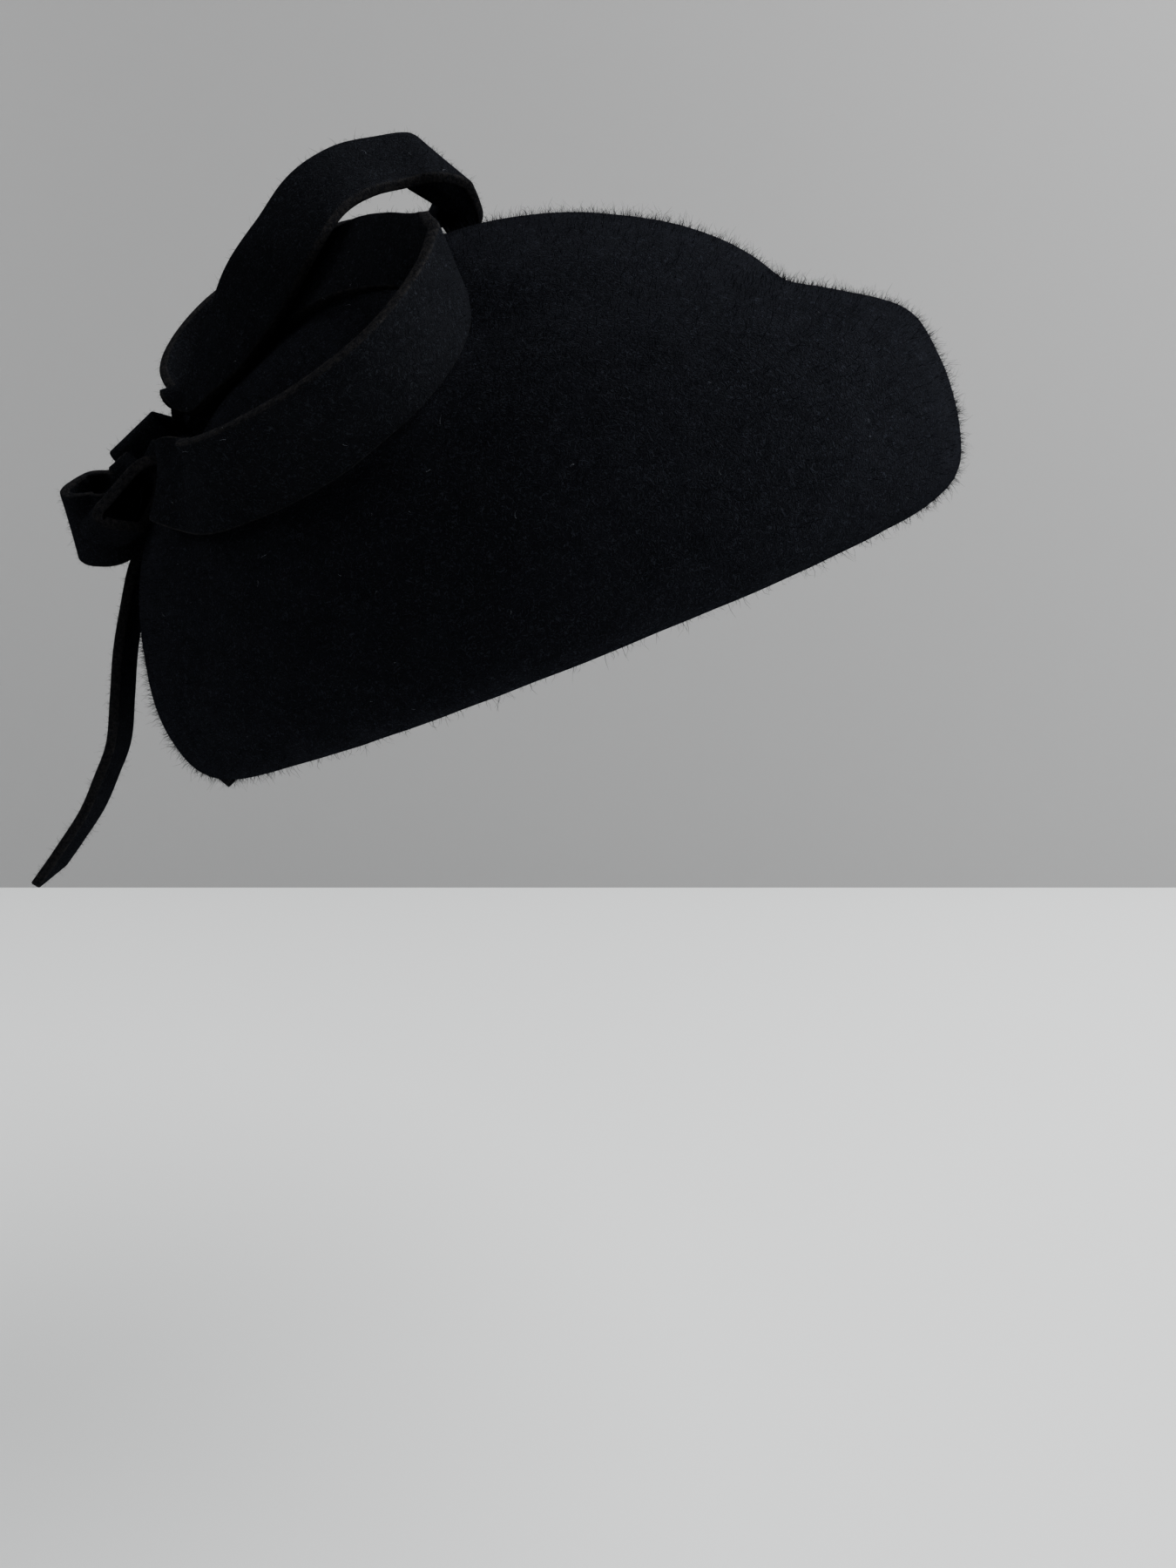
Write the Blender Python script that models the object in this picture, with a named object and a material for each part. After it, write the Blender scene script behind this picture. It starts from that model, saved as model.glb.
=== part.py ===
"""Pillbox hat of black blocked felt, with a bow of felt strap on the back of the crown.

The frame is that of the hat as it is worn, in metres: the origin is the middle of the head opening,
+X is the wearer's front, +Y the wearer's left and +Z up. The pieces are drawn level, in the hat's own
frame, where the opening's rim lies on the plane z = 0, and one empty tips them back to the worn tilt.
"""

import math
from typing import NamedTuple

import bmesh
import bpy
from mathutils import Vector

MM = 0.001

# Felt body
BODY_LENGTH = 216.0 * MM
BODY_WIDTH = 173.0 * MM
CROWN_HEIGHT = 101.0 * MM
BODY_FELT = 2.6 * MM
BODY_SEGMENTS = 80
WORN_TILT = math.radians(21.5)

# Felt strap of the bow
STRAP_WIDTH = 20.0 * MM
SMALL_LOOP_WIDTH = 19.0 * MM
STRAP_FELT = 2.5 * MM
STEPS_PER_STATION = 4

# Knot of the bow: along is a share of half the body's length, and up of the crown's height
KNOT_BAND_WIDTH = 15.2 * MM
KNOT_ACROSS = 21.0 * MM
KNOT_DEPTH = 13.8 * MM
KNOT_CORNER = 3.2 * MM
KNOT_FELT = 2.2 * MM
KNOT_GAP = 0.3 * MM
KNOT_ALONG = -0.758
KNOT_UP = 0.805
KNOT_PITCH = math.radians(19.3)
CORE_PROUD = 0.9 * MM

# Felt colour, shared by every piece
FELT_COLOUR = (0.0075, 0.0083, 0.0105, 1.0)
FELT_ROUGHNESS = 0.95


class Section(NamedTuple):
    """One oval of the body: reaches and heights at the front, side and back.

    A reach is a share of half the body's length, or of half its width for the side. A height is a share
    of the crown's height.
    """

    front: float
    side: float
    back: float
    front_up: float
    side_up: float
    back_up: float


class Station(NamedTuple):
    """One point along a strap: where its middle is, and which way its width points.

    Along is a share of half the body's length, across of half its width, and up of the crown's height.
    The lean is a direction in the hat's own frame, and the width is a share of the strap's.
    """

    along: float
    across: float
    up: float
    lean_along: float
    lean_across: float
    lean_up: float
    width: float


# From the turned-under edge of the opening, round the wall and over the shoulder to the crease
BODY_SECTIONS = (
    Section(0.838, 0.890, 0.847, 0.030, 0.030, 0.030),
    Section(0.861, 0.913, 0.870, 0.000, 0.000, 0.000),
    Section(0.907, 0.948, 0.919, 0.010, 0.012, 0.012),
    Section(0.948, 0.973, 0.954, 0.034, 0.040, 0.044),
    Section(0.975, 0.990, 0.976, 0.077, 0.094, 0.097),
    Section(0.994, 1.000, 0.987, 0.158, 0.178, 0.178),
    Section(1.000, 1.000, 0.980, 0.257, 0.267, 0.262),
    Section(0.991, 0.978, 0.959, 0.342, 0.361, 0.351),
    Section(0.977, 0.940, 0.931, 0.401, 0.446, 0.446),
    Section(0.950, 0.888, 0.894, 0.440, 0.525, 0.535),
    Section(0.899, 0.821, 0.850, 0.477, 0.594, 0.609),
    Section(0.819, 0.754, 0.792, 0.531, 0.644, 0.655),
    Section(0.729, 0.698, 0.718, 0.589, 0.668, 0.673),
)

# The dome's ovals, as shares of the crease's reach
DOME_SHARES = (0.975, 0.93, 0.87, 0.79, 0.69, 0.57, 0.43, 0.28, 0.13)

# The bow's straps, each from its root under the knot: a loop runs back there, and a tail to its free end
RIGHT_LOOP = (
    Station(-0.664, -0.144, 0.804, 0.20, -0.10, 0.98, 0.48),
    Station(-0.658, -0.226, 0.778, 0.20, 0.20, 0.96, 0.44),
    Station(-0.653, -0.340, 0.774, 0.15, 0.45, 0.88, 0.56),
    Station(-0.651, -0.548, 0.677, 0.14, 0.60, 0.79, 0.96),
    Station(-0.585, -0.642, 0.632, 0.23, 0.30, 0.93, 0.91),
    Station(-0.533, -0.753, 0.621, 0.25, -0.34, 0.90, 1.00),
    Station(-0.421, -0.870, 0.593, 0.10, -0.42, 0.90, 1.00),
    Station(-0.304, -0.926, 0.592, -0.03, -0.46, 0.89, 1.00),
    Station(-0.192, -0.955, 0.615, -0.12, -0.50, 0.86, 1.00),
    Station(-0.100, -0.940, 0.650, -0.18, -0.52, 0.84, 1.00),
    Station(-0.024, -0.886, 0.703, -0.18, -0.55, 0.82, 1.00),
    Station(0.031, -0.809, 0.767, -0.12, -0.62, 0.77, 1.00),
    Station(0.052, -0.742, 0.820, -0.05, -0.74, 0.66, 1.00),
    Station(0.034, -0.695, 0.854, 0.08, -0.78, 0.62, 0.95),
    Station(-0.013, -0.618, 0.880, 0.60, -0.29, 0.75, 0.68),
    Station(-0.072, -0.519, 0.933, 0.36, 0.30, 0.88, 0.83),
    Station(-0.146, -0.408, 0.967, 0.26, 0.58, 0.77, 0.97),
    Station(-0.221, -0.332, 0.976, 0.20, 0.66, 0.72, 1.00),
    Station(-0.313, -0.250, 0.975, 0.17, 0.68, 0.72, 0.95),
    Station(-0.428, -0.174, 0.954, 0.12, 0.72, 0.68, 0.80),
    Station(-0.526, -0.091, 0.893, 0.20, 0.30, 0.93, 0.28),
    Station(-0.590, -0.082, 0.855, 0.20, 0.10, 0.97, 0.27),
    Station(-0.642, -0.084, 0.813, 0.20, 0.00, 0.98, 0.26),
)
UPPER_LOOP = (
    Station(-0.677, -0.012, 0.884, 0.10, -0.98, -0.10, 0.55),
    Station(-0.653, -0.051, 0.928, 0.25, -0.95, -0.15, 0.60),
    Station(-0.580, -0.170, 0.894, 0.38, -0.81, -0.44, 0.70),
    Station(-0.508, -0.247, 0.913, 0.44, -0.73, -0.52, 0.86),
    Station(-0.427, -0.312, 0.944, 0.64, -0.60, -0.48, 0.97),
    Station(-0.343, -0.339, 0.999, 0.73, -0.43, -0.53, 1.00),
    Station(-0.247, -0.340, 1.068, 0.67, -0.49, -0.57, 1.00),
    Station(-0.159, -0.301, 1.135, 0.47, -0.55, -0.70, 1.00),
    Station(-0.075, -0.242, 1.166, 0.29, -0.59, -0.75, 1.00),
    Station(0.007, -0.176, 1.171, 0.20, -0.62, -0.76, 1.00),
    Station(0.077, -0.138, 1.162, 0.11, -0.69, -0.71, 1.00),
    Station(0.113, -0.074, 1.137, 0.29, -0.74, -0.60, 1.00),
    Station(0.102, -0.020, 1.103, 0.61, -0.57, -0.55, 1.00),
    Station(0.081, 0.024, 1.094, 0.68, -0.45, -0.58, 1.00),
    Station(0.063, 0.053, 1.083, 0.35, -0.88, -0.30, 1.00),
    Station(-0.037, 0.064, 1.046, 0.15, -0.96, -0.20, 1.00),
    Station(-0.167, 0.069, 1.038, 0.10, -0.97, -0.20, 1.00),
    Station(-0.278, 0.081, 1.020, 0.05, -0.97, -0.20, 0.95),
    Station(-0.380, 0.087, 0.985, 0.10, -0.97, -0.20, 0.90),
    Station(-0.491, 0.081, 0.939, 0.15, -0.97, -0.20, 0.75),
    Station(-0.583, 0.062, 0.881, 0.12, -0.98, -0.15, 0.60),
    Station(-0.644, 0.035, 0.851, 0.10, -0.98, -0.10, 0.50),
)
LEFT_LOOP = (
    Station(-0.672, 0.148, 0.822, 0.15, -0.20, 0.95, 0.60),
    Station(-0.710, 0.197, 0.887, 0.10, -0.42, 0.89, 0.76),
    Station(-0.721, 0.301, 0.973, -0.05, -0.58, 0.80, 0.93),
    Station(-0.666, 0.401, 1.050, -0.13, -0.60, 0.78, 1.00),
    Station(-0.570, 0.474, 1.119, -0.14, -0.60, 0.78, 1.00),
    Station(-0.454, 0.538, 1.161, -0.10, -0.58, 0.80, 1.00),
    Station(-0.324, 0.572, 1.186, -0.05, -0.60, 0.80, 1.00),
    Station(-0.185, 0.572, 1.184, 0.00, -0.60, 0.80, 1.00),
    Station(-0.079, 0.532, 1.137, 0.05, -0.62, 0.78, 1.00),
    Station(-0.023, 0.451, 1.084, 0.05, -0.55, 0.83, 1.00),
    Station(-0.074, 0.376, 1.064, 0.00, -0.40, 0.92, 1.00),
    Station(-0.204, 0.335, 1.059, -0.02, -0.32, 0.95, 1.00),
    Station(-0.370, 0.306, 1.020, 0.10, -0.30, 0.94, 0.92),
    Station(-0.509, 0.254, 0.941, 0.20, -0.33, 0.92, 0.75),
    Station(-0.611, 0.190, 0.858, 0.20, -0.25, 0.94, 0.60),
)
SMALL_BACK_LOOP = (
    Station(-0.806, -0.105, 0.710, 0.35, -0.25, 0.90, 0.56),
    Station(-0.857, -0.106, 0.689, 0.35, -0.25, 0.90, 0.74),
    Station(-0.912, -0.118, 0.677, 0.35, -0.25, 0.90, 0.97),
    Station(-0.974, -0.099, 0.695, 0.35, -0.45, 0.82, 1.00),
    Station(-1.008, -0.046, 0.723, 0.35, -0.50, 0.79, 1.00),
    Station(-1.003, 0.021, 0.747, 0.35, -0.50, 0.79, 1.00),
    Station(-0.958, 0.057, 0.755, 0.35, -0.50, 0.79, 1.00),
    Station(-0.913, 0.042, 0.746, 0.35, -0.50, 0.79, 0.90),
    Station(-0.883, 0.006, 0.733, 0.35, -0.50, 0.79, 0.80),
)
SMALL_RIGHT_LOOP = (
    Station(-0.762, -0.214, 0.752, 0.30, -0.94, -0.15, 0.80),
    Station(-0.781, -0.231, 0.782, 0.30, -0.94, -0.15, 0.90),
    Station(-0.819, -0.258, 0.764, 0.30, -0.94, -0.15, 1.00),
    Station(-0.870, -0.291, 0.725, 0.30, -0.94, -0.15, 1.00),
    Station(-0.894, -0.308, 0.691, 0.30, -0.94, -0.15, 1.00),
    Station(-0.881, -0.304, 0.662, 0.30, -0.94, -0.15, 1.00),
    Station(-0.838, -0.277, 0.652, 0.30, -0.94, -0.15, 1.00),
    Station(-0.798, -0.245, 0.665, 0.30, -0.94, -0.15, 0.95),
    Station(-0.771, -0.220, 0.706, 0.30, -0.94, -0.15, 0.85),
)
LONG_TAIL = (
    Station(-0.773, 0.005, 0.708, -0.05, 0.99, 0.00, 0.44),
    Station(-0.811, 0.012, 0.691, -0.08, 0.99, -0.02, 0.46),
    Station(-0.852, 0.025, 0.657, -0.12, 0.98, -0.03, 0.54),
    Station(-0.896, 0.035, 0.612, -0.15, 0.98, -0.05, 0.60),
    Station(-0.944, 0.037, 0.562, -0.20, 0.97, -0.05, 0.76),
    Station(-0.994, 0.028, 0.482, -0.20, 0.97, -0.05, 0.92),
    Station(-1.049, 0.014, 0.388, -0.20, 0.97, -0.05, 1.00),
    Station(-1.099, 0.000, 0.286, -0.20, 0.97, -0.05, 1.00),
    Station(-1.156, 0.000, 0.184, -0.20, 0.97, -0.05, 1.00),
    Station(-1.223, 0.000, 0.111, -0.20, 0.97, -0.05, 1.00),
    Station(-1.298, 0.000, 0.040, -0.20, 0.97, -0.05, 1.00),
    Station(-1.393, 0.000, -0.026, -0.20, 0.97, -0.05, 1.00),
    Station(-1.474, 0.000, -0.078, -0.20, 0.97, -0.05, 1.00),
)
SHORT_TAIL = (
    Station(-0.773, 0.117, 0.707, 0.05, 0.99, 0.00, 0.45),
    Station(-0.808, 0.138, 0.685, 0.08, 0.98, 0.00, 0.50),
    Station(-0.845, 0.180, 0.636, 0.12, 0.98, 0.00, 0.65),
    Station(-0.885, 0.217, 0.559, 0.15, 0.97, 0.00, 0.80),
    Station(-0.934, 0.242, 0.465, 0.18, 0.97, 0.00, 0.95),
    Station(-0.983, 0.254, 0.356, 0.20, 0.97, 0.00, 1.00),
    Station(-1.021, 0.266, 0.238, 0.20, 0.97, 0.00, 1.00),
    Station(-1.028, 0.277, 0.124, 0.20, 0.97, 0.00, 1.00),
    Station(-1.007, 0.295, 0.020, 0.20, 0.97, 0.00, 1.00),
    Station(-0.990, 0.304, -0.030, 0.20, 0.97, 0.00, 1.00),
)


def clear_scene():
    for found in list(bpy.data.objects):
        bpy.data.objects.remove(found, do_unlink=True)


def felt_material(name):
    material = bpy.data.materials.new(name)
    material.use_nodes = True
    shader = material.node_tree.nodes["Principled BSDF"]
    shader.inputs["Base Color"].default_value = FELT_COLOUR
    shader.inputs["Roughness"].default_value = FELT_ROUGHNESS
    shader.inputs["Metallic"].default_value = 0.0
    return material


def add_object(name, shape, holder):
    """Makes an object from a bmesh, gives it its own felt material and hangs it on the holder."""
    mesh = bpy.data.meshes.new(name)
    shape.to_mesh(mesh)
    shape.free()
    made = bpy.data.objects.new(name, mesh)
    made.data.materials.append(felt_material(name + "_felt"))
    made.data.shade_smooth()
    made.parent = holder
    bpy.context.collection.objects.link(made)
    return made


def thicken(made, thickness, offset):
    solidify = made.modifiers.new("Felt", "SOLIDIFY")
    solidify.thickness = thickness
    solidify.offset = offset
    solidify.use_even_offset = True
    solidify.use_quality_normals = True


def dome_rise(share):
    """How much of the dome's height is reached at this share of the crease's reach."""
    fall = 1.0 - share * share
    return 0.5 * (math.sqrt(fall) + fall)


def dome_section(share):
    crease = BODY_SECTIONS[-1]
    rise = dome_rise(share)
    return Section(
        crease.front * share,
        crease.side * share,
        crease.back * share,
        crease.front_up + (1.0 - crease.front_up) * rise,
        crease.side_up + (1.0 - crease.side_up) * rise,
        crease.back_up + (1.0 - crease.back_up) * rise,
    )


def section_point(section, turn):
    """The point of an oval section at this turn, counted from the front towards the left side."""
    ahead = math.cos(turn)
    reach = section.front if ahead > 0.0 else section.back
    end_up = section.front_up if ahead > 0.0 else section.back_up
    up = section.side_up + (end_up - section.side_up) * ahead * ahead
    return Vector((
        0.5 * BODY_LENGTH * reach * ahead,
        0.5 * BODY_WIDTH * section.side * math.sin(turn),
        CROWN_HEIGHT * up,
    ))


def felt_body(holder):
    """The blocked felt: one wall from the turned-under opening to the top of the dome."""
    sections = list(BODY_SECTIONS) + [dome_section(share) for share in DOME_SHARES]
    turns = [2.0 * math.pi * index / BODY_SEGMENTS for index in range(BODY_SEGMENTS)]
    shape = bmesh.new()
    rings = [[shape.verts.new(section_point(section, turn)) for turn in turns] for section in sections]
    for lower, upper in zip(rings, rings[1:]):
        for index in range(BODY_SEGMENTS):
            after = (index + 1) % BODY_SEGMENTS
            shape.faces.new((lower[index], lower[after], upper[after], upper[index]))
    top = shape.verts.new((0.0, 0.0, CROWN_HEIGHT))
    for index in range(BODY_SEGMENTS):
        shape.faces.new((rings[-1][index], rings[-1][(index + 1) % BODY_SEGMENTS], top))
    made = add_object("felt_body", shape, holder)
    thicken(made, BODY_FELT, -1.0)
    return made


def station_vectors(station):
    middle = Vector((
        0.5 * BODY_LENGTH * station.along,
        0.5 * BODY_WIDTH * station.across,
        CROWN_HEIGHT * station.up,
    ))
    lean = Vector((station.lean_along, station.lean_across, station.lean_up))
    return middle, lean, station.width


def between(before, first, second, after, share):
    """A smooth curve through the first and second values, with their neighbours setting its slope."""
    return 0.5 * (
        2.0 * first
        + (second - before) * share
        + (2.0 * before - 5.0 * first + 4.0 * second - after) * share**2
        + (3.0 * first - before - 3.0 * second + after) * share**3
    )


def smooth_stations(stations, is_ring):
    """The strap's middles, leans and width shares, with steps filled in between the stations."""
    known = [station_vectors(station) for station in stations]
    count = len(known)
    filled = []
    for index in range(count if is_ring else count - 1):
        if is_ring:
            four = [known[(index + step) % count] for step in (-1, 0, 1, 2)]
        else:
            four = [known[min(max(index + step, 0), count - 1)] for step in (-1, 0, 1, 2)]
        for step in range(STEPS_PER_STATION):
            share = step / STEPS_PER_STATION
            filled.append(tuple(between(*(row[part] for row in four), share) for part in range(3)))
    if not is_ring:
        filled.append(known[-1])
    return filled


def strap_edges(stations, width, is_ring):
    """The two long edges of a strap, as pairs of points."""
    filled = smooth_stations(stations, is_ring)
    count = len(filled)
    pairs = []
    for index, (middle, lean, share) in enumerate(filled):
        if is_ring:
            ahead = filled[(index + 1) % count][0] - filled[index - 1][0]
        else:
            ahead = filled[min(index + 1, count - 1)][0] - filled[max(index - 1, 0)][0]
        ahead.normalize()
        reach = (lean - ahead * lean.dot(ahead)).normalized() * 0.5 * width * share
        pairs.append((middle - reach, middle + reach))
    return pairs


def strap(name, stations, width, is_ring, holder):
    """A strap of felt on edge, thickened evenly to both sides of its middle surface."""
    shape = bmesh.new()
    rows = []
    for first, second in strap_edges(stations, width, is_ring):
        rows.append((shape.verts.new(first), shape.verts.new(second)))
    steps = list(zip(rows, rows[1:]))
    if is_ring:
        steps.append((rows[-1], rows[0]))
    for before, after in steps:
        shape.faces.new((before[0], after[0], after[1], before[1]))
    made = add_object(name, shape, holder)
    thicken(made, STRAP_FELT, 0.0)
    return made


def rounded_oblong(across, depth, corner, steps=5):
    """A rounded rectangle in the plane x = 0, as a list of points."""
    points = []
    for quarter, (side, rise) in enumerate(((1, 1), (-1, 1), (-1, -1), (1, -1))):
        for step in range(steps + 1):
            turn = 0.5 * math.pi * (quarter + step / steps)
            points.append(Vector((
                0.0,
                side * (0.5 * across - corner) + corner * math.cos(turn),
                rise * (0.5 * depth - corner) + corner * math.sin(turn),
            )))
    return points


def place_on_knot(made):
    made.location = (0.5 * BODY_LENGTH * KNOT_ALONG, 0.0, CROWN_HEIGHT * KNOT_UP)
    made.rotation_euler = (0.0, -KNOT_PITCH, 0.0)
    return made


def knot_band(holder):
    """The strap wrapped round the middle of the bow: a flattened tube with rounded corners."""
    shape = bmesh.new()
    outline = rounded_oblong(KNOT_ACROSS, KNOT_DEPTH, KNOT_CORNER)
    opening = rounded_oblong(
        KNOT_ACROSS - 2 * KNOT_FELT,
        KNOT_DEPTH - 2 * KNOT_FELT,
        KNOT_CORNER - KNOT_FELT,
    )
    outer = [shape.verts.new(point - Vector((0.5 * KNOT_BAND_WIDTH, 0, 0))) for point in outline]
    hole = [shape.verts.new(point - Vector((0.5 * KNOT_BAND_WIDTH, 0, 0))) for point in opening]
    faces = []
    for index in range(len(outer)):
        after = (index + 1) % len(outer)
        faces.append(shape.faces.new((outer[index], hole[index], hole[after], outer[after])))
    grown = bmesh.ops.extrude_face_region(shape, geom=faces)
    moved = [item for item in grown["geom"] if isinstance(item, bmesh.types.BMVert)]
    bmesh.ops.translate(shape, verts=moved, vec=(KNOT_BAND_WIDTH, 0, 0))
    bmesh.ops.recalc_face_normals(shape, faces=shape.faces)
    return place_on_knot(add_object("knot_band", shape, holder))


def knot_core(holder):
    """The pinched middle of the bow, inside the band and a little proud of it at both ends."""
    shape = bmesh.new()
    spare = 2 * (KNOT_FELT + KNOT_GAP)
    length = KNOT_BAND_WIDTH + 2 * CORE_PROUD
    outline = rounded_oblong(KNOT_ACROSS - spare, KNOT_DEPTH - spare, KNOT_CORNER - KNOT_FELT - KNOT_GAP)
    ring = [shape.verts.new(point - Vector((0.5 * length, 0, 0))) for point in outline]
    end = shape.faces.new(ring)
    grown = bmesh.ops.extrude_face_region(shape, geom=[end])
    moved = [item for item in grown["geom"] if isinstance(item, bmesh.types.BMVert)]
    bmesh.ops.translate(shape, verts=moved, vec=(length, 0, 0))
    bmesh.ops.recalc_face_normals(shape, faces=shape.faces)
    return place_on_knot(add_object("knot_core", shape, holder))


def main():
    clear_scene()
    holder = bpy.data.objects.new("worn_tilt", None)
    holder.rotation_euler = (0.0, -WORN_TILT, 0.0)
    bpy.context.collection.objects.link(holder)
    felt_body(holder)
    strap("bow_loop_right", RIGHT_LOOP, STRAP_WIDTH, False, holder)
    strap("bow_loop_upper", UPPER_LOOP, STRAP_WIDTH, True, holder)
    strap("bow_loop_left", LEFT_LOOP, STRAP_WIDTH, True, holder)
    strap("small_loop_back", SMALL_BACK_LOOP, SMALL_LOOP_WIDTH, False, holder)
    strap("small_loop_right", SMALL_RIGHT_LOOP, SMALL_LOOP_WIDTH, True, holder)
    strap("tail_long", LONG_TAIL, STRAP_WIDTH, False, holder)
    strap("tail_short", SHORT_TAIL, STRAP_WIDTH, False, holder)
    knot_band(holder)
    knot_core(holder)


main()
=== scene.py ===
"""Looks of a pillbox hat of black blocked wool felt, with a bow of cut felt strap on its crown.

The body, the strap of the bow and its knot are drawn again here, finer than their solids, and dressed in
the wool fibres that felt is made of. Lengths are in metres, in the frame of the hat as it is worn.
"""

import logging
import math
from dataclasses import dataclass, field
from enum import Enum
from typing import NamedTuple

import bmesh
import bpy
import numpy as np
from mathutils import Matrix, Vector, noise

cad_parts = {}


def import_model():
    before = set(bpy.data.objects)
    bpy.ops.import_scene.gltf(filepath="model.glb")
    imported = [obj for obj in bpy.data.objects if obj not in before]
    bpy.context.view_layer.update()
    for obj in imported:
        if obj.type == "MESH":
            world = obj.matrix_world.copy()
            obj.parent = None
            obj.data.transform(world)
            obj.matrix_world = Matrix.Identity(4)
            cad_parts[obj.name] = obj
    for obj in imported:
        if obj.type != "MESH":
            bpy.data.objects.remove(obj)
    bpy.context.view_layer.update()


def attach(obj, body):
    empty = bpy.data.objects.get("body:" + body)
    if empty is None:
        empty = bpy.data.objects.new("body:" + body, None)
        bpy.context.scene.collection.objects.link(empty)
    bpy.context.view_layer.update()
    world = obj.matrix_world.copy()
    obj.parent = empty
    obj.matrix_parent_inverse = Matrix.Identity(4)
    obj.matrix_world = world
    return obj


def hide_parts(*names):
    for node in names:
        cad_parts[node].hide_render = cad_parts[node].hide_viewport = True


LOG = logging.getLogger("felt_hat")
MM = 0.001

# Sizes of the blocked body, as its solid has them
BODY_LENGTH = 216.0 * MM
BODY_WIDTH = 173.0 * MM
CROWN_HEIGHT = 101.0 * MM
BODY_FELT = 2.6 * MM
WORN_TILT = math.radians(21.5)

# Sizes of the bow, as its solids have them
STRAP_WIDTH = 20.0 * MM
SMALL_LOOP_WIDTH = 19.0 * MM
STRAP_FELT = 2.5 * MM
KNOT_BAND_WIDTH = 15.2 * MM
KNOT_ACROSS = 21.0 * MM
KNOT_DEPTH = 13.8 * MM
KNOT_CORNER = 3.2 * MM
KNOT_FELT = 2.2 * MM
KNOT_GAP = 0.3 * MM
KNOT_ALONG = -0.758
KNOT_UP = 0.805
KNOT_PITCH = math.radians(19.3)
CORE_PROUD = 0.9 * MM

Grid = np.ndarray
# Marks the cut edges, where the felt gets a painted highlight
CUT_EDGE = "cut_edge"
WOOL_IOR = 1.45
SAME_SPOT = 1e-7
NO_LENGTH = 1e-12


class Ends(Enum):
    """What a sleeve's two ends do."""

    JOINED = "joined"
    CUT = "cut"
    POLES = "poles"


class Section(NamedTuple):
    """One oval of the body: reaches and heights at the front, side and back.

    A reach is a share of half the body's length, or of half its width for the side. A height is a share
    of the crown's height.
    """

    front: float
    side: float
    back: float
    front_up: float
    side_up: float
    back_up: float


class Station(NamedTuple):
    """One point along a strap: where its middle is, and which way its width points.

    Along is a share of half the body's length, across of half its width, and up of the crown's height.
    The lean is a direction in the hat's own frame, and the width is a share of the strap's.
    """

    along: float
    across: float
    up: float
    lean_along: float
    lean_across: float
    lean_up: float
    width: float


# From the turned-under edge of the opening, round the wall and over the shoulder to the crease
BODY_SECTIONS = (
    Section(0.838, 0.890, 0.847, 0.030, 0.030, 0.030),
    Section(0.861, 0.913, 0.870, 0.000, 0.000, 0.000),
    Section(0.907, 0.948, 0.919, 0.010, 0.012, 0.012),
    Section(0.948, 0.973, 0.954, 0.034, 0.040, 0.044),
    Section(0.975, 0.990, 0.976, 0.077, 0.094, 0.097),
    Section(0.994, 1.000, 0.987, 0.158, 0.178, 0.178),
    Section(1.000, 1.000, 0.980, 0.257, 0.267, 0.262),
    Section(0.991, 0.978, 0.959, 0.342, 0.361, 0.351),
    Section(0.977, 0.940, 0.931, 0.401, 0.446, 0.446),
    Section(0.950, 0.888, 0.894, 0.440, 0.525, 0.535),
    Section(0.899, 0.821, 0.850, 0.477, 0.594, 0.609),
    Section(0.819, 0.754, 0.792, 0.531, 0.644, 0.655),
    Section(0.729, 0.698, 0.718, 0.589, 0.668, 0.673),
)

# The bow's straps, each from its root under the knot: a loop runs back there, and a tail to its free end
RIGHT_LOOP = (
    Station(-0.672, -0.145, 0.771, 0.18, 0.18, 0.97, 0.26),
    Station(-0.663, -0.239, 0.749, 0.24, 0.17, 0.96, 0.28),
    Station(-0.644, -0.354, 0.719, 0.32, 0.16, 0.93, 0.34),
    Station(-0.644, -0.473, 0.699, 0.35, 0.28, 0.90, 0.55),
    Station(-0.638, -0.559, 0.670, 0.27, 0.45, 0.85, 0.90),
    Station(-0.581, -0.651, 0.627, 0.31, 0.26, 0.92, 0.96),
    Station(-0.513, -0.802, 0.593, 0.27, -0.59, 0.76, 0.97),
    Station(-0.410, -0.895, 0.576, 0.03, -0.57, 0.82, 0.96),
    Station(-0.289, -0.942, 0.581, -0.04, -0.58, 0.82, 0.95),
    Station(-0.182, -0.967, 0.602, -0.15, -0.64, 0.75, 0.93),
    Station(-0.096, -0.950, 0.634, -0.20, -0.68, 0.71, 0.92),
    Station(-0.024, -0.897, 0.682, -0.23, -0.73, 0.64, 0.91),
    Station(0.027, -0.821, 0.739, -0.19, -0.82, 0.55, 0.90),
    Station(0.051, -0.752, 0.791, -0.06, -0.84, 0.53, 0.90),
    Station(0.050, -0.711, 0.826, 0.09, -0.80, 0.60, 0.86),
    Station(-0.005, -0.620, 0.879, 0.57, -0.12, 0.81, 0.72),
    Station(-0.072, -0.505, 0.929, 0.58, 0.21, 0.79, 0.83),
    Station(-0.145, -0.406, 0.964, 0.26, 0.58, 0.77, 0.97),
    Station(-0.220, -0.330, 0.973, 0.20, 0.66, 0.72, 1.00),
    Station(-0.312, -0.249, 0.972, 0.17, 0.68, 0.72, 0.95),
    Station(-0.427, -0.173, 0.953, 0.12, 0.72, 0.68, 0.80),
    Station(-0.525, -0.091, 0.891, 0.20, 0.30, 0.93, 0.28),
    Station(-0.589, -0.082, 0.853, 0.20, 0.10, 0.97, 0.27),
    Station(-0.640, -0.084, 0.811, 0.20, 0.00, 0.98, 0.26),
)

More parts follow.
